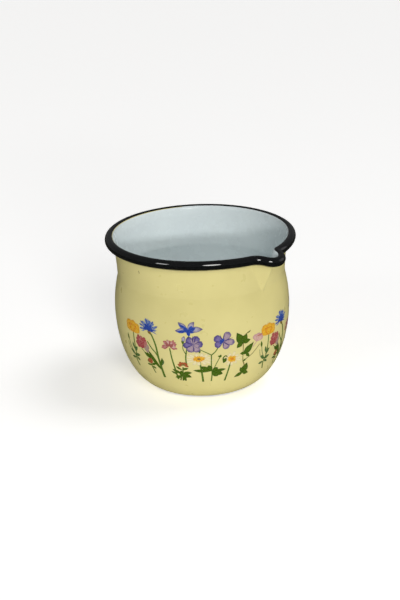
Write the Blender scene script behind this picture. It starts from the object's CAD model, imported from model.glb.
"""The enamelled melting pot: smooth enamel coats, curled edge, pouring lip and printed meadow plants."""

import math
import random

import bmesh
import bpy
from mathutils import Matrix, Vector


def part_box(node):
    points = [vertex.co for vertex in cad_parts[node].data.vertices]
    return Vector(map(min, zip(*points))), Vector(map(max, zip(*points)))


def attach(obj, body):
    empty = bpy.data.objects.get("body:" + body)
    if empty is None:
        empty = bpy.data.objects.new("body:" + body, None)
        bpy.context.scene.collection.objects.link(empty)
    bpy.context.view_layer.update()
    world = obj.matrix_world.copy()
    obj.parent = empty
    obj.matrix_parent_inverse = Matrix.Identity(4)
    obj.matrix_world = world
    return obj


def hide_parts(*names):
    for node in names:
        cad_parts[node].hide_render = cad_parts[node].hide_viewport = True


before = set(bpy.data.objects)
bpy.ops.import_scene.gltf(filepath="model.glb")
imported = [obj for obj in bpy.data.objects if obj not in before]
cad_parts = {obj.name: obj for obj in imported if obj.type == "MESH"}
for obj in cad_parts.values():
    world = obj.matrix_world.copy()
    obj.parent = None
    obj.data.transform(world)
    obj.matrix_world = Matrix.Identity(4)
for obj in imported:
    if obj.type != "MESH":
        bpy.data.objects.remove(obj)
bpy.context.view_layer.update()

MM = 0.001
RIM_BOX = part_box("rim_enamel")
BODY_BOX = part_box("outer_enamel")
BASE_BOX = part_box("base_enamel")

# Sizes in metres. Those that a CAD box gives come from it.
BEAD_R = 3.3 * MM
RIM_R = -RIM_BOX[0][0] - BEAD_R
SHOULDER_PROUD = 0.1 * MM
BEAD_Z = RIM_BOX[1][2] - SHOULDER_PROUD - BEAD_R
BELLY_R = BODY_BOX[1][1]
GROUND_Z = BASE_BOX[1][2]
BASE_R = 33.0 * MM
BELLY_Z = 57.0 * MM
NECK_R = 58.8 * MM
NECK_Z = 80.5 * MM
WALL_IN = 2.25 * MM
TOP_R = RIM_R - WALL_IN
SHEET = 0.8 * MM
COAT = 0.25 * MM
WALL = SHEET + 2 * COAT

# The lip: its nose, the hollows at its shoulders, how far it dips and where its channel begins.
NOSE_R = 7.9 * MM
LIP_REACH = 9.3 * MM
HOLLOW_NEAR = 13.0 * MM
HOLLOW_FAR = 5.0 * MM
DIP_FROM = 61.0 * MM
DIP_SLOPE = math.tan(math.radians(12))
ROOT_Z = 79.5 * MM
NARROWEST = 0.07

# The painted edge of the black coat, as an angle on the curl's section (90 is its top, 180 the mouth side).
BLACK_EDGE = 129.0
BLACK_END = -155.0
# The side, as an angle seen from above, where the black is thin and a line of cream shows on the curl.
THIN_AT = math.radians(-160)

GARLANDS = 3
GARLAND_STEP = 98.0
GARLAND_START = -103.0
# How much lower each garland sits, in millimetres.
GARLAND_DROPS = (0.0, 3.7, 0.0)
# The layer that the other plants start from, so that they lie over the daisies.
OVER_DAISIES = 48


# ---------------------------------------------------------------- shape


def clamp(value, low=0.0, high=1.0):
    return max(low, min(high, value))


def smooth(value):
    value = clamp(value)
    return value * value * (3 - 2 * value)


def lerp(a, b, t):
    return a + (b - a) * t


def wobble(angle, seed, waves=7):
    """A smooth closed curve in -1..1 round the pot, the same each run."""
    rng = random.Random(seed)
    total = 0.0
    reach = 0.0
    for k in range(1, waves + 1):
        size = rng.uniform(0.3, 1.0) / math.sqrt(k)
        total += size * math.sin(k * rng.randint(1, 4) * angle + rng.uniform(0, math.tau))
        reach += size
    return total / reach


def profile(t):
    """(radius, height) of the wall's outside: 0-1 the flat, 1-2 the bowl, 2-3 the neck, 3-4 the flare."""
    if t <= 1:
        return BASE_R * t, 0.0
    if t <= 2:
        a = (t - 1) * math.pi / 2
        return BASE_R + (BELLY_R - BASE_R) * math.sin(a), BELLY_Z * (1 - math.cos(a))
    if t <= 3:
        s = t - 2
        return BELLY_R - (BELLY_R - NECK_R) * s * s, lerp(BELLY_Z, NECK_Z, s)
    s = t - 3
    return NECK_R + (TOP_R - NECK_R) * s**1.6, lerp(NECK_Z, BEAD_Z, s)


def profile_at(z):
    """The place on the profile that has height z, above the flat."""
    if z <= BELLY_Z:
        return 1 + math.acos(clamp(1 - z / BELLY_Z)) / (math.pi / 2)
    if z <= NECK_Z:
        return 2 + (z - BELLY_Z) / (NECK_Z - BELLY_Z)
    return 3 + (z - NECK_Z) / (BEAD_Z - NECK_Z)


def hollow(radius):
    """The hollow beside the lip that touches the round edge and the nose.

    Gives its angle from the pot's middle, and its middle.
    """
    nose_x = RIM_R + LIP_REACH - NOSE_R
    a = RIM_R + radius
    b = NOSE_R + radius
    angle = math.acos((a * a + nose_x * nose_x - b * b) / (2 * a * nose_x))
    return angle, Vector((a * math.cos(angle), a * math.sin(angle), 0))


def arc(middle, radius, start, end, count, outward=1):
    """Points on an arc with their outward directions."""
    out = []
    for k in range(count):
        a = lerp(start, end, k / (count - 1))
        ray = Vector((math.cos(a), math.sin(a), 0))
        out.append((middle + ray * radius, ray * outward))
    return out


def curl_path():
    """The curl's middle seen from above, anticlockwise: the round edge, then the lip from its near side."""
    nose = Vector((RIM_R + LIP_REACH - NOSE_R, 0, 0))
    far_angle, far_mid = hollow(HOLLOW_FAR)
    near_angle, near_mid = hollow(HOLLOW_NEAR)
    near_mid.y = -near_mid.y
    far_nose = math.atan2(far_mid.y, far_mid.x - nose.x)
    near_nose = math.atan2(near_mid.y, near_mid.x - nose.x)
    main = arc(Vector((0, 0, 0)), RIM_R, far_angle, math.tau - near_angle, 232)
    near = arc(near_mid, HOLLOW_NEAR, math.pi - near_angle, near_nose + math.pi, 14, -1)
    tip = arc(nose, NOSE_R, near_nose, far_nose, 34)
    far = arc(far_mid, HOLLOW_FAR, far_nose - math.pi, far_angle - math.pi, 10, -1)
    lip = near + tip[1:] + far[1:]
    return main, lip[1:-1], near_angle, far_angle


def dip(x):
    """How far the curl drops at x, with a soft start."""
    over = (x - DIP_FROM) / (4 * MM)
    soft = math.log1p(math.exp(clamp(over, -30, 30))) * 4 * MM
    return -soft * DIP_SLOPE if x > 0 else 0.0


class Column:
    """One place round the pot: the curl's middle, its frame, and how the wall below it runs."""

    def __init__(self, point, out, lip):
        self.mid = Vector((point.x, point.y, BEAD_Z + dip(point.x)))
        self.out = out
        self.lip = lip
        top = point - out * WALL_IN
        self.angle = math.atan2(top.y, top.x)
        self.top_r = top.length
        self.drop = self.mid.z - BEAD_Z


def columns():
    main, lip, near_angle, far_angle = curl_path()
    cols = [Column(p, n, False) for p, n in main] + [Column(p, n, True) for p, n in lip]
    for col in cols[: len(main)]:
        col.angle %= math.tau
    count = len(cols)
    for i, col in enumerate(cols):
        ahead = cols[(i + 1) % count].mid
        behind = cols[i - 1].mid
        along = (ahead - behind).normalized()
        col.up = col.out.cross(along).normalized()
        if col.up.z < 0:
            col.up.negate()
        col.side = near_angle if col.angle < 0 else far_angle
    return cols, near_angle, far_angle


COLS, NEAR_ANGLE, FAR_ANGLE = columns()
COUNT = len(COLS)
TIP_R = max(col.top_r for col in COLS)
KEEL_FOOT = profile(profile_at(ROOT_Z))[0]


def wall_point(i, t):
    """The wall's outside at column i and profile place t."""
    col = COLS[i % COUNT]
    r, z = profile(t)
    rise = (z - ROOT_Z) / (BEAD_Z - ROOT_Z)
    if rise > 0:
        narrow = lerp(NARROWEST, 1, rise)
    else:
        narrow = clamp(-rise * 1.6, NARROWEST, 1)
    if col.lip:
        angle = col.angle * narrow
        if rise > 0:
            u = abs(col.angle) / col.side
            ridge = 1 - math.sqrt(u * u + 0.002) / math.sqrt(1.002)
            rounded = (col.top_r - TOP_R) / (TIP_R - TOP_R)
            share = lerp(ridge, rounded, smooth((rise - 0.7) / 0.3))
            r += max(0.0, lerp(KEEL_FOOT, TIP_R, rise) - r) * share
    else:
        start = FAR_ANGLE * narrow
        end = math.tau - NEAR_ANGLE * narrow
        share = (col.angle - FAR_ANGLE) / (math.tau - NEAR_ANGLE - FAR_ANGLE)
        angle = lerp(start, end, share)
    return Vector((r * math.cos(angle), r * math.sin(angle), z + col.drop * smooth(rise)))


def wall_normal(i, t):
    if t < 1:
        return Vector((0, 0, -1))
    step = 0.004
    up = wall_point(i, min(t + step, 4)) - wall_point(i, t - step)
    along = wall_point(i + 1, t) - wall_point(i - 1, t)
    return along.cross(up).normalized()


def wall_ring(t, depth=0.0):
    """A ring on the wall, depth inside its outer face. t is one place, or a list of one for each column."""
    places = t if isinstance(t, list) else [t] * COUNT
    return [wall_point(i, places[i]) - wall_normal(i, places[i]) * depth for i in range(COUNT)]


def curl_ring(angle, radius):
    """A ring on the curl, at a section angle and a distance from its middle (each a number or a list)."""
    angles = angle if isinstance(angle, list) else [angle] * COUNT
    radii = radius if isinstance(radius, list) else [radius] * COUNT
    out = []
    for col, a, r in zip(COLS, angles, radii):
        a = math.radians(a)
        out.append(col.mid + (col.out * math.cos(a) + col.up * math.sin(a)) * r)
    return out


def steps(start, end, count):
    return [lerp(start, end, k / count) for k in range(count + 1)]


def loft(rings, closed):
    """A bmesh skin over rings of equal length. The poles of an open one are drawn together."""
    bm = bmesh.new()
    rows = [[bm.verts.new(p) for p in ring] for ring in rings]
    pairs = list(zip(rows, rows[1:]))
    if closed:
        pairs.append((rows[-1], rows[0]))
    for low, high in pairs:
        count = len(low)
        for i in range(count):
            j = (i + 1) % count
            bm.faces.new((low[i], low[j], high[j], high[i]))
    if not closed:
        for row in (rows[0], rows[-1]):
            bmesh.ops.pointmerge(bm, verts=row, merge_co=row[0].co)
    return bm


def finish_mesh(bm, name, mats, sharp=50):
    """Turns a bmesh into a piece with outward faces, smooth but for its sharp edges."""
    bmesh.ops.recalc_face_normals(bm, faces=bm.faces)
    for face in bm.faces:
        face.smooth = True
    for edge in bm.edges:
        edge.smooth = edge.calc_face_angle(0) < math.radians(sharp)
    mesh = bpy.data.meshes.new(name)
    bm.to_mesh(mesh)
    bm.free()
    for mat in mats:
        mesh.materials.append(mat)
    piece = bpy.data.objects.new(name, mesh)
    bpy.context.scene.collection.objects.link(piece)
    return piece


def declare(piece, node):
    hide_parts(node)
    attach(piece, "root")


# ---------------------------------------------------------------- materials


def rgb(code):
    """A linear colour from a hex code as it looks on a screen."""
    parts = [int(code[k : k + 2], 16) / 255 for k in (0, 2, 4)]
    line = [c / 12.92 if c <= 0.04045 else ((c + 0.055) / 1.055) ** 2.4 for c in parts]
    return (*line, 1.0)


class Paint:
    """A small helper that builds one procedural material."""

    def __init__(self, name):
        self.mat = bpy.data.materials.new(name)
        self.mat.use_nodes = True
        self.tree = self.mat.node_tree
        self.bsdf = self.tree.nodes["Principled BSDF"]
        self.place = self.node("ShaderNodeTexCoord").outputs["Object"]

    def node(self, kind, **inputs):
        made = self.tree.nodes.new(kind)
        for key, value in inputs.items():
            self.put(made.inputs[key.replace("_", " ")], value)
        return made

    def put(self, socket, value):
        if isinstance(value, bpy.types.NodeSocket):
            self.tree.links.new(value, socket)
        else:
            socket.default_value = value

    def noise(self, scale, detail=2.0, where=None, rough=0.5):
        made = self.node("ShaderNodeTexNoise", Scale=scale, Detail=detail, Roughness=rough)
        self.put(made.inputs["Vector"], where or self.place)
        return made.outputs["Fac"]

    def stretch(self, where, scale):
        made = self.node("ShaderNodeMapping", Vector=where, Scale=scale)
        return made.outputs["Vector"]

    def band(self, value, low, high, to_low=0.0, to_high=1.0):
        """value from low..high to to_low..to_high, held within them."""
        made = self.node("ShaderNodeMapRange", Value=value)
        for key, number in (("From Min", low), ("From Max", high), ("To Min", to_low), ("To Max", to_high)):
            made.inputs[key].default_value = number
        return made.outputs["Result"]

    def sums(self, how, a, b):
        made = self.node("ShaderNodeMath")
        made.operation = how
        self.put(made.inputs[0], a)
        self.put(made.inputs[1], b)
        return made.outputs["Value"]

    def mix(self, share, a, b):
        made = self.node("ShaderNodeMix")
        made.data_type = "RGBA"
        self.put(made.inputs[0], share)
        self.put(made.inputs[6], a)
        self.put(made.inputs[7], b)
        return made.outputs[2]

    def uv(self):
        return self.node("ShaderNodeUVMap").outputs["UV"]

    def across(self):
        """(distance from the middle line, 0..1; place along, 0..1) of a blade's UV map."""
        parts = self.node("ShaderNodeSeparateXYZ", Vector=self.uv())
        off = self.sums("SUBTRACT", parts.outputs["Y"], 0.5)
        off = self.sums("ABSOLUTE", off, 0.0)
        return self.sums("MULTIPLY", off, 2.0), parts.outputs["X"]

    def bump(self, *layers):
        """Bump from (height, strength, distance) layers, one on another."""
        last = None
        for height, strength, distance in layers:
            made = self.node("ShaderNodeBump", Strength=strength, Distance=distance, Height=height)
            if last:
                self.put(made.inputs["Normal"], last)
            last = made.outputs["Normal"]
        self.put(self.bsdf.inputs["Normal"], last)

    def gloss(self, coat, coat_rough, ior=1.5):
        self.bsdf.inputs["Coat Weight"].default_value = coat
        self.bsdf.inputs["Coat Roughness"].default_value = coat_rough
        self.bsdf.inputs["IOR"].default_value = ior

    def set(self, key, value):
        self.put(self.bsdf.inputs[key], value)


def enamel(name, main, shade, speck, rough, speck_share=0.012, coat=0.5, peel=0.05):
    """Fired glass: a faint cloud of thinner colour, a few specks and pinholes, and a slight orange peel."""
    p = Paint(name)
    cloud = p.band(p.noise(38, 3), 0.35, 0.7)
    colour = p.mix(cloud, rgb(main), rgb(shade))
    cells = p.node("ShaderNodeTexVoronoi", Vector=p.place, Scale=420.0)
    near = p.band(cells.outputs["Distance"], 0.10, 0.16, 1, 0)
    chance = p.node("ShaderNodeSeparateXYZ", Vector=cells.outputs["Color"]).outputs["X"]
    rare = p.band(chance, speck_share, speck_share + 0.001, 1, 0)
    spots = p.sums("MULTIPLY", near, rare)
    p.set("Base Color", p.mix(spots, colour, rgb(speck)))
    p.set("Roughness", p.band(p.noise(150, 4), 0.3, 0.7, rough * 0.9, rough * 1.15))
    p.bump(
        (p.noise(26, 1), 0.15, 0.8 * MM),
        (p.noise(620, 2), peel, 0.2 * MM),
        (spots, -0.5, 0.1 * MM),
    )
    p.gloss(coat, 0.04)
    return p.mat


def ground_coat():
    """The dark ground coat that shows at the base, speckled and a little rubbed."""
    p = Paint("ground_coat")
    grains = p.band(p.noise(1500, 3), 0.52, 0.62)
    rubbed = p.band(p.noise(240, 4), 0.6, 0.68)
    colour = p.mix(grains, rgb("6d6b60"), rgb("88857a"))
    p.set("Base Color", p.mix(rubbed, colour, rgb("a39d88")))
    p.set("Roughness", p.band(rubbed, 0, 1, 0.3, 0.55))
    p.bump((p.noise(1200, 3), 0.3, 0.1 * MM))
    p.gloss(0.2, 0.2)
    return p.mat


def bare_steel():
    """Pressed steel with faint rings from the die."""
    p = Paint("pressed_steel")
    rings = p.noise(700, 2, p.stretch(p.place, (0.08, 0.08, 1.0)))
    p.set("Base Color", p.mix(rings, rgb("8f9194"), rgb("b4b6b8")))
    p.set("Metallic", 1.0)
    p.set("Roughness", p.band(rings, 0.3, 0.7, 0.25, 0.45))
    p.bump((rings, 0.1, 0.1 * MM))
    return p.mat


def chipped():
    """The dark steel and rust at the bottom of a chip."""
    p = Paint("chip")
    rust = p.band(p.noise(2600, 4), 0.42, 0.6)
    p.set("Base Color", p.mix(rust, rgb("5d5138"), rgb("7c6840")))
    p.set("Roughness", p.band(rust, 0, 1, 0.5, 0.8))
    p.bump((p.noise(3000, 3), 0.6, 0.1 * MM))
    return p.mat


def petal(name, heart, body, edge, rim=(0.72, 0.95), streak=0.5, foot=(0.0, 0.35)):
    """Printed colour of a petal or leaf: its own heart, body and edge, with streaks along it."""
    p = Paint(name)
    off, along = p.across()
    lines = p.noise(1.0, 3, p.stretch(p.uv(), (2.5, 15.0, 1.0)))
    grain = p.noise(2300, 2)
    colour = p.mix(p.band(along, foot[0], foot[1]), rgb(heart), rgb(body))
    colour = p.mix(p.sums("MULTIPLY", p.band(lines, 0.45, 0.65), streak), colour, rgb(edge))
    tip = p.band(along, rim[0], rim[1])
    side = p.band(off, rim[0], rim[1])
    colour = p.mix(p.sums("MAXIMUM", tip, side), colour, rgb(edge))
    p.set("Base Color", p.mix(p.band(grain, 0.35, 0.75, 0, 0.25), colour, rgb(body)))
    p.set("Roughness", p.band(grain, 0.3, 0.7, 0.22, 0.34))
    p.bump((p.noise(620, 2), 0.05, 0.2 * MM), (lines, 0.08, 0.03 * MM))
    p.gloss(0.3, 0.08)
    return p.mat


CREAM = enamel("cream_enamel", "d8cd8a", "d3c885", "a29560", 0.3, 0.002, 0.2)
WHITE = enamel("white_enamel", "e6f0f1", "e1ebed", "8f9a9b", 0.26, 0.001, 0.2)
BLACK = enamel("black_enamel", "08090a", "0c0d0e", "2a2b2c", 0.07, 0.004, 1.0, 0.03)
GROUND = ground_coat()
STEEL = bare_steel()
CHIP = chipped()

PAINTS = {
    "leaf": petal("print_leaf", "3e5e08", "4a680a", "324e06", (0.7, 0.95), 0.8),
    "leaf_cool": petal("print_leaf_cool", "44642a", "52723a", "2e5220", (0.7, 0.95), 0.8),
    "stem": petal("print_stem", "4a6a14", "587826", "3c5a10", (0.85, 1.0), 0.7),
    "vine": petal("print_vine", "8a7a3c", "78803a", "7a5c34", (0.6, 1.0), 0.8),
    "gold": petal("print_gold", "cf8a10", "e0ac28", "c4841a", (0.82, 1.0), 0.7),
    "orange": petal("print_orange", "b8600a", "e08a14", "b86408", (0.6, 1.0), 0.9),
    "crimson": petal("print_crimson", "8a2630", "a03a3c", "a8605c", (0.6, 1.0), 0.6),
    "calyx": petal("print_calyx", "8c8e6c", "a39484", "9a7a70", (0.6, 1.0), 0.6),
    "brown": petal("print_brown", "6c6426", "8a6a34", "5c5a20", (0.6, 1.0), 0.8),
    "red": petal("print_red", "9c4a24", "b05c34", "8c3c20", (0.6, 1.0), 0.8),
    "blue": petal("print_blue", "22398a", "3f5ca8", "223f92", (0.75, 1.0), 0.5),
    "sky": petal("print_sky", "4a66a4", "8494b0", "4460a0", (0.7, 1.0), 0.5),
    "plum": petal("print_plum", "352b6c", "43366f", "52467c", (0.7, 1.0), 0.5),
    "deep": petal("print_deep_blue", "16297a", "203a94", "3456a6", (0.7, 1.0), 0.6),
    "lavender": petal("print_lavender", "7c7aa8", "a8a2ae", "4f4274", (0.6, 0.9), 0.35),
    "violet": petal("print_violet", "4c4176", "7a6c9c", "413877", (0.62, 0.92), 0.6),
    "mauve": petal("print_mauve", "6a5c84", "a8929a", "4a3f7a", (0.68, 0.94), 0.45),
    "pink": petal("print_pink", "a85c50", "b8786c", "a05458", (0.6, 1.0), 0.7),
    "rose": petal("print_rose", "84403c", "96504a", "a4645c", (0.6, 1.0), 0.6),
    "blush": petal("print_blush", "bc928a", "cca89a", "b4868a", (0.6, 1.0), 0.4),
    "white": petal("print_white", "d8cb94", "e0d5a8", "c6b888", (0.72, 1.0), 0.6),
}

# ---------------------------------------------------------------- enamel and steel

bowl_places = steps(1, 2, 36)
waist_places = steps(2, 3, 20)
flare_places = steps(3, 4, 20)
climb = bowl_places + waist_places[1:] + flare_places[1:]
flat_places = [0.0, 0.25, 0.5, 0.75, 0.9]
AROUND = [math.atan2(col.mid.y, col.mid.x) for col in COLS]
ground_line = [profile_at(GROUND_Z * (1 + 0.12 * wobble(a, 5))) for a in AROUND]
under_curl = profile_at(BEAD_Z - 1.5 * MM)
mouth_top = profile_at(BEAD_Z - 3.7 * MM)


def between(places, low, high):
    return [t for t in places if low + 0.004 < t < high - 0.004]


def make_outer():
    """The cream coat, with the thin line of cream that the black leaves on the curl, and one small chip."""
    first = max(ground_line)
    places = [ground_line] + between(climb, first, under_curl) + [under_curl]
    front = [wall_ring(t) for t in places]
    back = [wall_ring(t, COAT * 0.9) for t in places]
    bm = loft(front + back[::-1], True)
    bare = [max(0.0, math.cos(a - THIN_AT)) for a in AROUND]
    low_edge = [BLACK_EDGE - 4.0] * COUNT
    high_edge = [BLACK_EDGE - 3.0 + 6.4 * b + 1.2 * wobble(a, 11) for a, b in zip(AROUND, bare)]
    seam = [low_edge, [lerp(a, b, 0.5) for a, b in zip(low_edge, high_edge)], high_edge]
    faces = [BEAD_R - lerp(0.13, 0.03, smooth(2 * b - 0.5)) * MM for b in bare]
    top = [curl_ring(a, faces) for a in seam]
    under = [curl_ring(a, BEAD_R - 0.2 * MM) for a in seam[::-1]]
    line = loft(top + under, True)
    join(bm, line)
    add_chip(bm, math.radians(-89.3), 95.6 * MM)
    declare(finish_mesh(bm, "cream_coat", [CREAM, CHIP]), "outer_enamel")


def join(bm, other):
    mesh = bpy.data.meshes.new("part")
    other.to_mesh(mesh)
    other.free()
    bm.from_mesh(mesh)
    bpy.data.meshes.remove(mesh)


def add_chip(bm, angle, height):
    """A chip in the cream: an uneven dark patch, a hair proud of the coat so that it shows."""
    rng = random.Random(3)
    count = 11
    ring = []
    for k in range(count):
        a = math.tau * k / count
        size = rng.uniform(0.75, 1.15)
        ring.append((0.42 * size * math.cos(a) - 0.2 * math.sin(a), 1.15 * size * math.sin(a)))
    tops = [on_wall(angle, x * MM, height + z * MM, 0.012 * MM) for x, z in ring]
    lows = [on_wall(angle, x * MM, height + z * MM, -0.15 * MM) for x, z in ring]
    first = len(bm.faces)
    top = [bm.verts.new(p) for p in tops]
    low = [bm.verts.new(p) for p in lows]
    bm.faces.new(top)
    bm.faces.new(low[::-1])
    for k in range(count):
        j = (k + 1) % count
        bm.faces.new((low[k], low[j], top[j], top[k]))
    bm.faces.ensure_lookup_table()
    for face in bm.faces[first:]:
        face.material_index = 1


def on_wall(angle, x, z, proud):
    """The point x to the right of a plain place on the wall, at height z, proud of the wall."""
    t = profile_at(z)
    r, height = profile(t)
    r_up, z_up = profile(t + 0.002)
    r_down, z_down = profile(t - 0.002)
    slope = Vector((r_up - r_down, z_up - z_down)).normalized()
    r += slope.y * proud
    height -= slope.x * proud
    turn = angle + math.asin(clamp(x / r, -1, 1))
    return Vector((r * math.cos(turn), r * math.sin(turn), height))


def make_ground():
    top = between(steps(1, 1.2, 12), 1.0, min(ground_line))
    places = flat_places + [1.0] + top + [ground_line]
    front = [wall_ring(t) for t in places]
    back = [wall_ring(t, COAT * 0.95) for t in places]
    piece = finish_mesh(loft(front + back[::-1], False), "ground_coat", [GROUND])
    declare(piece, "base_enamel")


def make_inner():
    """The white coat, up the inside of the wall and over the mouth side of the curl to the black."""
    places = flat_places + between(climb, 0.99, mouth_top) + [mouth_top]
    over = steps(160, BLACK_EDGE - 22, 12)
    front = [wall_ring(t, WALL) for t in places] + [curl_ring(a, BEAD_R - 0.05 * MM) for a in over]
    back = [wall_ring(t, WALL - COAT * 0.9) for t in places] + [curl_ring(a, BEAD_R - COAT) for a in over]
    piece = finish_mesh(loft(front + back[::-1], False), "white_coat", [WHITE])
    declare(piece, "inner_enamel")


def make_black():
    """The black coat round the curl, with a painted edge that isn't quite even."""
    edge = [BLACK_EDGE + 1.4 * wobble(a, 23) for a in AROUND]
    rows = [edge]
    for k in range(1, 27):
        share = k / 26
        rows.append([lerp(a, BLACK_END, share) for a in edge])
    front = [curl_ring(row, BEAD_R) for row in rows]
    front[0] = curl_ring([a + 0.8 for a in rows[0]], BEAD_R - 0.06 * MM)
    back = [curl_ring(row, BEAD_R - COAT) for row in rows]
    piece = finish_mesh(loft(front + back[::-1], True), "black_coat", [BLACK], 60)
    declare(piece, "rim_enamel")


def make_steel():
    """The pressed sheet between the coats: the bowl, and its edge rolled out and down."""
    places = flat_places + between(climb, 0.99, mouth_top) + [mouth_top]
    roll = steps(160, -130, 26)
    sheet_out = BEAD_R - COAT - 0.02 * MM
    inside = [wall_ring(t, WALL - COAT) for t in places]
    outside = [wall_ring(t, COAT) for t in places]
    rings = inside + [curl_ring(a, sheet_out) for a in roll]
    rings += [curl_ring(a, sheet_out - SHEET) for a in roll[::-1]] + outside[::-1]
    piece = finish_mesh(loft(rings, False), "steel_sheet", [STEEL])
    declare(piece, "steel_shell")


make_outer()
make_ground()
make_inner()
make_black()
make_steel()

# ---------------------------------------------------------------- printed plants


class Plant:
    """One printed plant: blades of colour laid on the belly, drawn in millimetres right and up."""

    def __init__(self, garland, angle, layer):
        self.angle = math.radians(GARLAND_START + garland * GARLAND_STEP + angle)
        self.drop = GARLAND_DROPS[garland]
        self.bm = bmesh.new()
        self.map = self.bm.loops.layers.uv.new("UVMap")
        self.layer = layer
        self.used = []

    def paint(self, name):
        if name not in self.used:
            self.used.append(name)
        return self.used.index(name)

    def blade(self, spine, half_widths, paint, across=4):
        """A strip about a spine of points, half_widths wide, in one paint."""
        index = self.paint(paint)
        self.layer += 1
        proud = (0.022 + 0.0011 * self.layer) * MM
        rows = []
        last = len(spine) - 1
        for k, (x, z) in enumerate(spine):
            ahead = spine[min(k + 1, last)]
            behind = spine[max(k - 1, 0)]
            along = Vector((ahead[0] - behind[0], ahead[1] - behind[1])).normalized()
            side = Vector((along.y, -along.x))
            half = max(half_widths[k], 0.02)
            row = []
            for j in range(across + 1):
                v = j / across
                off = (v - 0.5) * 2 * half
                spot = ((x + side.x * off) * MM, (z - self.drop + side.y * off) * MM)
                pair = [on_wall(self.angle, spot[0], spot[1], h) for h in (proud, -0.03 * MM)]
                row.append((*[self.bm.verts.new(p) for p in pair], k / last, v))
            rows.append(row)
        self.skin(rows, index)

    def skin(self, rows, index):
        """Top, bottom and sides over rows of (top vertex, bottom vertex, u, v)."""
        quads = []
        for a, b in zip(rows, rows[1:]):
            for j in range(len(a) - 1):
                corners = (a[j], a[j + 1], b[j + 1], b[j])
                quads.append([(c[0], c) for c in corners])
                quads.append([(c[1], c) for c in corners[::-1]])
        edge = [r[0] for r in rows] + rows[-1][1:]
        edge += [r[-1] for r in rows[-2::-1]] + rows[0][-2:0:-1]
        for c, d in zip(edge, edge[1:] + edge[:1]):
            quads.append([(c[0], c), (d[0], d), (d[1], d), (c[1], c)])
        for quad in quads:
            face = self.bm.faces.new([v for v, _ in quad])
            face.material_index = index
            for loop, (_, c) in zip(face.loops, quad):
                loop[self.map].uv = (c[2], c[3])

    def stem(self, points, width, paint="stem", taper=0.8):
        spine = curve(points, 5 * (len(points) - 1) + 2)
        count = len(spine) - 1
        halves = [width / 2 * lerp(1, taper, k / count) for k in range(count + 1)]
        self.blade(spine, halves, paint, 2)

    def leaf(self, foot, length, width, turn, paint="leaf", bend=0.0, blunt=1.0, count=9):
        """A leaf or petal from its foot.

        turn is degrees clockwise from upright, and blunt moves its widest part outward.
        """
        spine = []
        halves = []
        for k in range(count + 1):
            u = k / count
            a = math.radians(turn + bend * u)
            x = foot[0] + math.sin(a) * length * u
            z = foot[1] + math.cos(a) * length * u
            spine.append((x, z))
            halves.append(width / 2 * math.sin(math.pi * u**blunt) ** (0.9 / blunt))
        self.blade(spine, halves, paint)

    def petals(
        self,
        middle,
        count,
        length,
        width,
        paint,
        start=0.0,
        end=360.0,
        tall=1.0,
        blunt=1.7,
        inner=0.0,
        vary=0.1,
        seed=1,
    ):
        """Petals spread about a middle, foreshortened upright by tall."""
        rng = random.Random(seed)
        for k in range(count):
            turn = start + (end - start) * (k + 0.5) / count + rng.uniform(-6, 6) * vary * 5
            a = math.radians(turn)
            long = length * (1 + rng.uniform(-1, 1) * vary)
            reach = math.hypot(math.sin(a), math.cos(a) * tall)
            foot = (middle[0] + math.sin(a) * inner, middle[1] + math.cos(a) * inner * tall)
            aim = math.degrees(math.atan2(math.sin(a), math.cos(a) * tall))
            wide = width * math.hypot(math.cos(a), math.sin(a) * tall)
            self.leaf(foot, long * reach, wide, aim, paint, blunt=blunt, count=7)

    def done(self, node, name):
        piece = finish_mesh(self.bm, name, [PAINTS[key] for key in self.used], 40)
        declare(piece, node)


def curve(points, count):
    """A smooth line through points, sampled count + 1 times."""
    out = []
    pads = [points[0], *points, points[-1]]
    for k in range(count + 1):
        place = k / count * (len(points) - 1)
        i = min(int(place), len(points) - 2)
        u = place - i
        a, b, c, d = pads[i : i + 4]
        spot = []
        for n in (0, 1):
            spot.append(
                0.5
                * (
                    2 * b[n]
                    + (c[n] - a[n]) * u
                    + (2 * a[n] - 5 * b[n] + 4 * c[n] - d[n]) * u * u
                    + (3 * b[n] - a[n] - 3 * c[n] + d[n]) * u**3
                )
            )
        out.append(tuple(spot))
    return out


def draw_buttercup(p):
    p.stem([(1.0, 24.5), (-0.2, 30), (1.4, 36), (1.6, 45), (1.6, 52)], 1.0, "stem")
    p.stem([(0.2, 33), (-3.0, 38), (-4.6, 44)], 0.55, "leaf_cool")
    p.stem([(0.0, 32), (-4.4, 36), (-6.2, 42)], 0.4, "leaf_cool")
    p.leaf((-4.6, 43.4), 5.0, 1.7, -10, "leaf", blunt=0.9)
    for foot, length, width, turn in (
        ((0.8, 37.5), 5.5, 1.8, -24),
        ((0.6, 36), 5.5, 2.4, 28),
        ((-0.4, 33), 5.0, 2.2, -52),
        ((0.0, 32.5), 5.5, 2.4, 62),
        ((-0.6, 31), 4.4, 2.0, -110),
        ((0.4, 31.5), 4.0, 2.0, 112),
    ):
        p.leaf(foot, length, width, turn, "leaf_cool", bend=10)
    p.leaf((0.8, 51.4), 9.4, 6.2, -34, "gold", blunt=1.9)
    p.leaf((1.2, 51.6), 8.4, 6.0, 6, "gold", blunt=1.9)
    p.leaf((1.4, 51.6), 8.8, 5.4, 46, "gold", blunt=1.8)
    p.leaf((-3.4, 56.6), 8.6, 1.6, 96, "orange", blunt=1.0)
    p.leaf((1.0, 51.2), 7.8, 4.4, -58, "gold", blunt=1.8)
    p.leaf((1.6, 51.2), 7.4, 4.2, 66, "gold", blunt=1.8)
    p.leaf((1.4, 50.8), 6.0, 5.8, 2, "gold", blunt=1.6)
    p.leaf((0.2, 51.6), 5.2, 0.9, -30, "orange", blunt=1.1)
    p.leaf((2.0, 51.6), 5.4, 0.9, 34, "orange", blunt=1.1)


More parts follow.
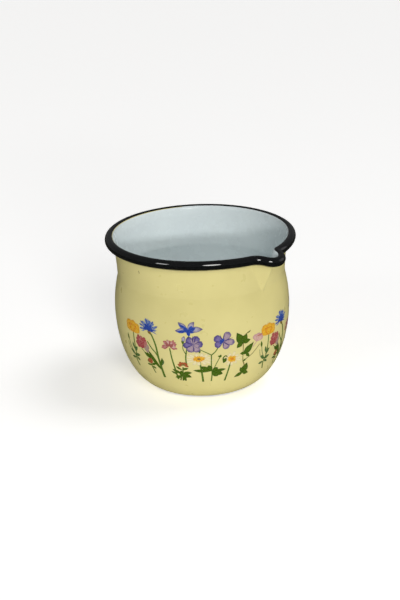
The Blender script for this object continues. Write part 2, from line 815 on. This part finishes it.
def draw_clover(p):
    p.leaf((1.4, 42.5), 5.6, 3.2, 128, "calyx", blunt=1.2)
    p.leaf((1.6, 43.5), 4.8, 4.6, 104, "calyx", blunt=1.4)
    p.leaf((1.0, 38.5), 6.8, 2.5, 128, "leaf")
    p.leaf((3.6, 38.8), 5.0, 1.8, 148, "leaf")
    p.stem([(-1.2, 40.5), (0.2, 39.5), (1.6, 38)], 0.5, "leaf")
    rng = random.Random(8)
    lean = math.radians(-28)
    for row in range(6):
        for k in range(5):
            u = (k - 2) / 2 + rng.uniform(-0.1, 0.1)
            v = 1 - row / 2.6 + rng.uniform(-0.06, 0.06)
            if u * u + v * v > 1.25:
                continue
            x = u * 2.9
            z = v * 3.9
            foot = (x * math.cos(lean) + z * math.sin(lean), 44.6 - x * math.sin(lean) + z * math.cos(lean))
            paint = "pink" if (row + k) % 4 == 0 and u > -0.3 else "crimson"
            p.leaf(foot, 3.3, 2.7, -28 + 42 * u, paint, blunt=1.4, count=5)


def draw_pimpernel(p):
    p.stem([(3.0, 22.6), (1.6, 27), (0.9, 31.5)], 0.8, "leaf")
    for foot, length, width, turn in (
        ((1.4, 29.2), 4.6, 2.0, 64),
        ((1.2, 29.0), 3.6, 1.6, -88),
        ((1.6, 28.0), 3.4, 1.6, 110),
        ((1.0, 30.5), 3.0, 1.4, -60),
    ):
        p.leaf(foot, length, width, turn, "leaf")
    p.petals((1.0, 32.4), 6, 2.4, 1.9, "red", tall=0.9, seed=2)
    p.petals((1.0, 32.4), 3, 0.9, 0.8, "brown", seed=4)


def draw_cornflower(p):
    p.stem([(3.9, 20.4), (3.5, 27), (2.5, 36), (1.6, 45), (-0.3, 51), (-2.2, 54.4)], 1.8, "stem", 0.55)
    p.stem([(3.0, 31), (1.5, 38.5), (-2.4, 43.2), (-5.4, 47.6)], 1.0, "stem")
    p.leaf((3.8, 26), 17.0, 3.0, -38, "leaf", bend=6, blunt=1.15, count=12)
    p.leaf((3.4, 30), 7.0, 2.3, 30, "leaf", bend=-16)
    p.leaf((4.0, 31), 4.8, 1.3, 46, "leaf_cool", bend=-20)
    p.leaf((-1.6, 53.2), 4.2, 2.6, -40, "brown", blunt=1.3)
    middle = (-3.8, 57.2)
    p.petals(middle, 11, 6.4, 1.3, "blue", -108, 100, 1.0, 2.3, 0.8, 0.22, 5)
    rng = random.Random(12)
    for k in range(20):
        turn = lerp(-118, 112, k / 19) + rng.uniform(-6, 6)
        a = math.radians(turn)
        foot = (middle[0] + math.sin(a) * 3.6, middle[1] + math.cos(a) * 3.6)
        p.leaf(foot, rng.uniform(2.4, 4.0), 0.75, turn + rng.uniform(-26, 26), "sky", blunt=0.8, count=5)
    p.petals((-3.6, 56.4), 12, 4.3, 1.3, "deep", -104, 104, 0.9, 1.2, 0.2, 0.35, 6)
    p.leaf((-3.4, 55.4), 3.6, 3.4, 0, "deep", blunt=1.1)


def draw_scabious(p):
    p.stem([(2.1, 20.6), (1.0, 30), (-0.3, 38), (-1.2, 45.5)], 1.3, "stem", 0.65)
    p.leaf((1.9, 25), 4.4, 1.5, -62, "leaf")
    middle = (-1.4, 47.0)
    p.petals(middle, 15, 5.0, 1.6, "pink", -128, 128, 0.95, 2.0, 0.5, 0.22, 9)
    p.petals(middle, 12, 3.6, 1.5, "blush", -112, 112, 0.95, 1.9, 0.5, 0.25, 10)
    p.petals(middle, 15, 3.4, 1.0, "rose", -120, 120, 0.9, 1.4, 0.2, 0.4, 14)


def draw_avens(p):
    p.stem([(-1.8, 19.6), (-1.4, 25), (-0.7, 31.5)], 1.0, "leaf")
    p.stem([(-3.6, 19.8), (-2.8, 23), (-3.4, 27)], 0.9, "leaf")
    for foot, length, width, turn in (
        ((-1.5, 26), 6.6, 2.5, 74),
        ((-1.6, 25), 6.4, 2.8, 100),
        ((-1.5, 29), 4.6, 1.8, 62),
        ((-1.7, 26), 7.4, 2.2, -74),
        ((-1.5, 29), 5.0, 1.6, -66),
        ((-1.8, 24), 5.6, 2.4, -118),
        ((-1.4, 22.6), 5.4, 2.8, 58),
        ((-1.6, 23.6), 4.6, 2.4, 148),
        ((-1.8, 23), 5.6, 3.0, -14),
    ):
        p.leaf(foot, length, width, turn, "leaf", bend=8)
    p.petals((-0.6, 33.2), 9, 3.6, 1.9, "red", -130, 130, 0.66, 1.7, 0.2, 0.2, 3)
    p.petals((-0.5, 32.8), 5, 1.9, 1.0, "brown", -90, 90, 0.7, 1.3, 0.1, 0.2, 7)


def draw_columbine(p):
    p.stem([(-2.2, 32.5), (-2.4, 40), (-1.2, 47), (-0.4, 55)], 1.0, "stem")
    p.stem([(-2.2, 42), (-4.0, 46), (-3.8, 51)], 0.6, "leaf_cool")
    p.leaf((-3.9, 49.6), 3.4, 1.9, -2, "leaf")
    p.leaf((-3.9, 51.6), 4.2, 2.6, 14, "lavender", blunt=0.9)
    p.leaf((-0.9, 49.6), 6.4, 2.6, 12, "leaf", blunt=1.1)
    for length, width, turn in ((9.0, 3.6, -100), (8.6, 3.6, -56), (7.4, 3.8, 32), (10.2, 4.2, 82)):
        p.leaf((-0.2, 60.0), length, width, turn, "lavender", bend=4, blunt=1.0)
    p.leaf((-0.6, 61.6), 4.0, 3.4, 172, "lavender", blunt=1.1)
    p.leaf((0.8, 61.4), 4.6, 3.0, 134, "lavender", blunt=1.1)
    for foot, length, width, turn in (
        ((-0.2, 60.4), 7.4, 1.9, -62),
        ((-0.4, 59.4), 7.6, 2.0, -98),
        ((0.0, 57.4), 6.0, 3.0, -30),
        ((0.4, 57.4), 6.2, 3.0, 20),
        ((0.2, 59.4), 5.4, 2.4, 64),
        ((-0.6, 60.0), 4.6, 2.6, 112),
        ((-0.6, 59.4), 4.0, 2.4, 160),
    ):
        p.leaf(foot, length, width, turn, "deep", blunt=1.1)


def draw_daisy(p):
    p.stem([(2.4, 19.0), (1.8, 27), (0.6, 36)], 1.35, "stem", 0.9)
    p.petals((0.2, 38.2), 13, 8.6, 2.5, "white", 0, 360, 0.52, 1.7, 2.0, 0.14, 15)
    p.leaf((-3.8, 38.3), 8.0, 4.0, 90, "orange", blunt=1.0)
    p.petals((0.2, 38.6), 15, 3.9, 1.1, "gold", 0, 360, 0.52, 1.5, 0.6, 0.25, 16)
    p.petals((0.2, 38.3), 7, 1.5, 0.7, "brown", 0, 360, 0.4, 1.2, 0.1, 0.3, 18)


def draw_mallow(p):
    p.stem([(1.2, 19.4), (1.7, 26), (1.2, 34), (1.4, 41.4)], 0.85, "stem")
    p.stem([(1.4, 41.2), (-1.2, 42.8), (-6.2, 45.6)], 0.65, "stem")
    p.stem([(1.3, 41.2), (4.0, 43.6), (6.4, 47.4)], 0.8, "stem")
    p.stem([(2.6, 29), (4.6, 34), (7.4, 39.6)], 0.6, "stem")
    p.leaf((6.9, 38.6), 2.6, 1.7, 24, "leaf")
    p.leaf((7.2, 39.2), 1.8, 1.0, -50, "leaf")
    p.stem([(9.6, 34.4), (9.4, 38.2), (11.2, 39.6), (12.2, 38.6)], 0.9, "leaf")
    p.leaf((9.6, 34.0), 4.4, 2.6, 14, "leaf", bend=14)
    for foot, length, width, turn in (
        ((1.6, 28.4), 12.6, 2.4, -91),
        ((1.4, 28.4), 8.2, 3.2, -66),
        ((1.4, 28.2), 5.4, 3.6, -28),
        ((1.6, 27.6), 9.6, 2.4, 78),
        ((1.4, 27.6), 8.0, 4.0, 104),
        ((1.6, 27.4), 5.6, 3.8, 128),
        ((1.6, 28.0), 5.0, 3.0, 52),
    ):
        p.leaf(foot, length, width, turn, "leaf", bend=4, blunt=1.2)
    left = (-10.8, 49.6)
    p.leaf((left[0] + 3.6, left[1] - 3.2), 3.6, 1.8, 168, "leaf")
    for turn, length, width, paint in (
        (-100, 6.9, 4.4, "violet"),
        (-40, 6.4, 4.6, "violet"),
        (28, 6.8, 5.0, "violet"),
        (88, 6.6, 4.8, "violet"),
        (148, 6.8, 4.6, "mauve"),
        (-152, 6.6, 5.0, "mauve"),
        (-8, 4.6, 3.4, "mauve"),
        (112, 4.8, 3.0, "mauve"),
        (58, 4.6, 3.2, "mauve"),
    ):
        p.leaf(left, length, width, turn, paint, blunt=1.9)
    for turn, reach, start in (
        (-76, 5.8, 0.6),
        (-122, 5.6, 0.9),
        (-8, 5.4, 1.0),
        (62, 5.8, 0.8),
        (16, 5.6, 1.4),
        (172, 5.0, 1.2),
    ):
        a = math.radians(turn)
        foot = (left[0] + math.sin(a) * start, left[1] + math.cos(a) * start)
        p.leaf(foot, reach, 0.8, turn, "plum", bend=8, blunt=0.9)
    right = (9.4, 50.6)
    for turn, length, width, paint in (
        (-118, 6.4, 4.8, "violet"),
        (-56, 7.2, 5.2, "violet"),
        (150, 6.4, 4.6, "mauve"),
        (100, 8.2, 4.6, "mauve"),
        (34, 8.0, 5.2, "mauve"),
    ):
        p.leaf(right, length, width, turn, paint, blunt=1.9)
    for turn, reach in ((-88, 6.2), (-26, 5.8), (4, 6.4), (66, 7.0), (124, 6.2), (176, 4.6)):
        p.leaf(right, reach, 0.7, turn, "plum", bend=6, blunt=0.9)
    p.petals(right, 5, 2.8, 1.1, "deep", -130, 30, 1.0, 1.1, 0.0, 0.2, 21)


def draw_small_daisy(p):
    p.stem([(-2.8, 18.6), (-1.2, 27), (0.2, 34.4)], 1.2, "stem")
    p.petals((1.0, 36.4), 11, 5.6, 2.2, "white", 0, 360, 0.78, 1.7, 1.4, 0.18, 25)
    p.petals((1.0, 36.4), 14, 3.1, 1.2, "gold", 0, 360, 0.78, 1.5, 0.3, 0.2, 26)
    p.petals((1.0, 36.4), 7, 1.4, 0.9, "orange", 0, 360, 0.7, 1.2, 0.0, 0.3, 27)


def draw_bindweed(p):
    p.stem([(-2.6, 29.4), (-4.2, 34), (-4.6, 41), (-4.8, 47.6)], 0.65, "vine")
    p.stem([(-4.2, 33), (-3.0, 31), (-2.6, 28)], 0.65, "vine")
    p.stem([(-3.6, 33), (-1.4, 34.4), (3.6, 37.6), (9.0, 43.0)], 0.55, "vine")
    p.stem([(-4.8, 51), (-2.8, 53.6), (0.8, 55.4)], 0.6, "vine")
    p.leaf((-1.8, 53.8), 3.0, 0.9, 60, "leaf")
    ivy = (
        ((-5.2, 46.4), 10.4, 5.6, -26),
        ((-5.4, 48.0), 6.6, 4.4, 30),
        ((-5.6, 47.8), 6.6, 3.6, 82),
        ((-5.6, 48.4), 5.8, 3.8, -136),
        ((-2.8, 22.8), 8.4, 5.2, 16),
        ((-2.8, 23.4), 5.0, 3.4, 108),
        ((-2.6, 23.6), 6.8, 3.0, -118),
        ((-2.8, 23.8), 4.8, 3.0, -32),
        ((-4.2, 32.6), 3.4, 1.4, 56),
    )
    for foot, length, width, turn in ivy:
        p.leaf(foot, length, width, turn, "leaf", blunt=0.85)
    p.leaf((-4.0, 38.2), 11.0, 5.0, 44, "leaf", blunt=0.75)
    p.leaf((-2.6, 39.4), 4.2, 2.4, -92, "leaf")
    p.leaf((-2.2, 38.6), 4.0, 2.4, 134, "leaf")
    p.stem([(3.2, 42.6), (5.2, 44.6), (6.4, 46.2)], 0.6, "blush")
    flower = (6.0, 45.6)
    for turn, length, width in ((-16, 6.0, 4.2), (22, 6.6, 4.4), (58, 6.4, 4.2)):
        p.leaf(flower, length, width, turn, "blush", blunt=2.0)
    p.leaf((6.0, 49.6), 5.6, 1.4, 84, "pink", blunt=1.1)


PLANTS = {
    "buttercup": (6, "print_yellow", draw_buttercup),
    "clover": (15, "print_red", draw_clover),
    "pimpernel": (19, "print_orange", draw_pimpernel),
    "cornflower": (25, "print_blue", draw_cornflower),
    "scabious": (37.5, "print_pink", draw_scabious),
    "avens": (45, "print_orange", draw_avens),
    "columbine": (49, "print_violet", draw_columbine),
    "daisy": (55, "print_cream", draw_daisy),
    "mallow": (62, "print_violet", draw_mallow),
    "small_daisy": (76, "print_cream", draw_small_daisy),
    "bindweed": (89, "print_pink", draw_bindweed),
}

for garland in range(GARLANDS):
    for plant_name, (plant_angle, plant_slot, draw) in PLANTS.items():
        plant = Plant(garland, plant_angle, 0 if plant_slot == "print_cream" else OVER_DAISIES)
        draw(plant)
        plant.done(f"print_{garland + 1}_{plant_name}", f"{plant_name}_{garland + 1}")

# ---------------------------------------------------------------- stage, light and camera

CAM_AZIMUTH = math.radians(45.3)
CAM_RISE = math.radians(21.1)
CAM_ROLL = math.radians(-1.63)
CAM_DISTANCE = 1.0
FIELD_HIGH = 0.4266
AIM_RIGHT = -1.41 * MM
AIM_UP = 3.0 * MM
AIM_Z = 54.75 * MM
FLOOR_SIDES = 96
FLOOR_LIFT = 0.44
FLOOR_GLOW = 0.4


def facing(azimuth, rise):
    """The direction from the pot towards azimuth (0 is -Y, 90 is +X) and rise."""
    flat = math.cos(rise)
    return Vector((math.sin(azimuth) * flat, -math.cos(azimuth) * flat, math.sin(rise)))


def make_camera():
    back = facing(CAM_AZIMUTH, CAM_RISE)
    turn = back.to_track_quat("Z", "Y").to_matrix()
    right = turn @ Vector((1, 0, 0))
    up = turn @ Vector((0, 1, 0))
    aim = Vector((0, 0, AIM_Z)) + right * AIM_RIGHT + up * AIM_UP
    data = bpy.data.cameras.new("camera")
    data.sensor_width = 36
    data.lens = 36 * CAM_DISTANCE / FIELD_HIGH
    data.clip_start = 0.01
    data.clip_end = 100
    camera = bpy.data.objects.new("camera", data)
    turn = (turn @ Matrix.Rotation(CAM_ROLL, 3, "Z")).to_4x4()
    camera.matrix_world = Matrix.Translation(aim + back * CAM_DISTANCE) @ turn
    bpy.context.scene.collection.objects.link(camera)
    bpy.context.scene.camera = camera


def make_floor():
    """A wide flat disc of rings, with the grain of pale paper."""
    bm = bmesh.new()
    turns = [math.tau * k / FLOOR_SIDES for k in range(FLOOR_SIDES)]
    rows = []
    for r in (0.1, 0.2, 0.4, 0.8, 1.6, 3.2, 6.4):
        rows.append([bm.verts.new((r * math.cos(a), r * math.sin(a), 0)) for a in turns])
    bm.faces.new(rows[0])
    for low, high in zip(rows, rows[1:]):
        for i in range(FLOOR_SIDES):
            j = (i + 1) % FLOOR_SIDES
            bm.faces.new((low[i], low[j], high[j], high[i]))
    p = Paint("floor_paper")
    grain = p.noise(900, 3)
    path = p.node("ShaderNodeLightPath").outputs
    paper = p.mix(grain, rgb("f3f3f3"), rgb("f6f6f6"))
    p.set("Base Color", p.mix(path["Is Glossy Ray"], paper, rgb("3c3d38")))
    p.set("Roughness", p.band(grain, 0.3, 0.7, 0.85, 0.95))
    p.bump((grain, 0.05, 0.1 * MM))
    p.set("Specular IOR Level", 0.0)
    p.set("Emission Color", (1, 1, 1, 1))
    seen = p.sums("MULTIPLY", path["Is Camera Ray"], FLOOR_LIFT)
    spread = p.sums("MULTIPLY", path["Is Diffuse Ray"], FLOOR_GLOW)
    p.set("Emission Strength", p.sums("ADD", seen, spread))
    floor = finish_mesh(bm, "floor", [p.mat])
    for face in floor.data.polygons:
        if face.normal.z < 0:
            floor.data.flip_normals()
            break


def area_light(name, azimuth, rise, distance, wide, high, power, mirrored=True):
    data = bpy.data.lights.new(name, "AREA")
    data.shape = "RECTANGLE"
    data.size = wide
    data.size_y = high
    data.energy = power
    light = bpy.data.objects.new(name, data)
    light.visible_glossy = mirrored
    way = facing(CAM_AZIMUTH + math.radians(azimuth), math.radians(rise))
    aim = Vector((0, 0, 0.06))
    turn = way.to_track_quat("Z", "Y").to_matrix().to_4x4()
    light.matrix_world = Matrix.Translation(aim + way * distance) @ turn
    bpy.context.scene.collection.objects.link(light)


def make_sun(name, azimuth, rise, strength, spread, mirrored=True):
    data = bpy.data.lights.new(name, "SUN")
    data.energy = strength
    data.angle = math.radians(spread)
    data.color = (1.0, 0.985, 0.96)
    light = bpy.data.objects.new(name, data)
    light.visible_glossy = mirrored
    way = facing(CAM_AZIMUTH + math.radians(azimuth), math.radians(rise))
    light.matrix_world = way.to_track_quat("Z", "Y").to_matrix().to_4x4()
    bpy.context.scene.collection.objects.link(light)


def make_world():
    """A white backdrop that lights the pot evenly. Mirrors see a dim room, so that black stays black."""
    world = bpy.data.worlds.new("studio")
    bpy.context.scene.world = world
    world.use_nodes = True
    tree = world.node_tree
    back = tree.nodes["Background"]
    path = tree.nodes.new("ShaderNodeLightPath")
    last = None
    for ray, strength in (("Is Glossy Ray", 0.08), ("Is Camera Ray", 0.96)):
        level = tree.nodes.new("ShaderNodeMix")
        level.inputs[2].default_value = 0.12
        level.inputs[3].default_value = strength
        tree.links.new(path.outputs[ray], level.inputs[0])
        if last:
            tree.links.new(last, level.inputs[2])
        last = level.outputs[0]
    tree.links.new(last, back.inputs["Strength"])
    back.inputs["Color"].default_value = (0.97, 0.985, 1.0, 1)


make_camera()
make_floor()
make_sun("key", 14, 30, 0.92, 20)
make_sun("side", 98, 60, 0.85, 26, False)
make_world()
area_light("window_left", -48, 30, 1.2, 0.26, 0.3, 1.2)
area_light("card_right", 98, 22, 1.0, 0.7, 0.6, 0.4)
area_light("front_low", 12, 12, 1.3, 0.3, 0.06, 4.5, False)
bpy.context.scene.view_settings.view_transform = "Standard"
